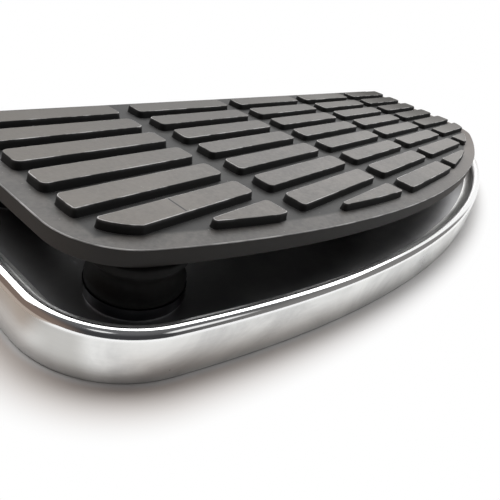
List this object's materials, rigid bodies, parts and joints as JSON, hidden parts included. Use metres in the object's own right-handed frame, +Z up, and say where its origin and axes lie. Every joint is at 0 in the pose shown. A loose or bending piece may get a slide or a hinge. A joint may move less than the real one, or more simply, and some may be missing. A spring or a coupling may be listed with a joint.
{
  "type": "motorcycle footboard",
  "caption": "Rider footboard: D-shaped polished pan folding on pivot brackets, with a ribbed rubber tread pad floating on round rubber isolators.",
  "frame": {"origin": "under the middle of the whole part's box, on the surface that it rests on", "axes": "+X along the board towards its rear end, +Y inboard from the curved edge to the hinges, +Z up"},
  "size_m": [0.3146, 0.1762, 0.0305],
  "materials": {
    "pan_alloy": "polished and bright plated, smooth rim",
    "tread_rubber": "moulded, semi-matte",
    "isolator_rubber": "moulded, matte",
    "zinc_steel": "bright zinc plated",
    "bracket_paint": "satin black over cast steel",
    "bronze": "sintered bronze"
  },
  "bodies": {
    "brackets": {"front_bracket": "bracket_paint", "rear_bracket": "bracket_paint", "front_bushing": "bronze", "rear_bushing": "bronze"},
    "board": {"footboard_pan": "pan_alloy", "front_outer_isolator": "isolator_rubber", "middle_outer_isolator": "isolator_rubber", "rear_outer_isolator": "isolator_rubber", "front_inner_isolator": "isolator_rubber", "middle_inner_isolator": "isolator_rubber", "rear_inner_isolator": "isolator_rubber", "rebound_rings": "isolator_rubber", "front_pivot_pin": "zinc_steel", "rear_pivot_pin": "zinc_steel", "front_spring_washer": "zinc_steel", "rear_spring_washer": "zinc_steel", "front_pin_clip": "zinc_steel", "rear_pin_clip": "zinc_steel"},
    "pad": {"tread_pad": "tread_rubber", "pad_plate": "zinc_steel", "isolator_studs": "zinc_steel", "stud_washers": "zinc_steel", "stud_locknuts": "zinc_steel"}
  },
  "joints": [
    {"name": "fold", "type": "hinge", "parent": "brackets", "child": "board", "pos_m": [0, 0.05605, 0.0095], "axis": [-1, 0, 0], "range_deg": [0, 60]},
    {"name": "pad_float", "type": "slide", "parent": "board", "child": "pad", "axis": [0, 0, 1], "range_m": [-0.0024, 0], "stiffness_N_per_m": 60000, "deforming": ["front_outer_isolator", "middle_outer_isolator", "rear_outer_isolator", "front_inner_isolator", "middle_inner_isolator", "rear_inner_isolator"]}
  ]
}
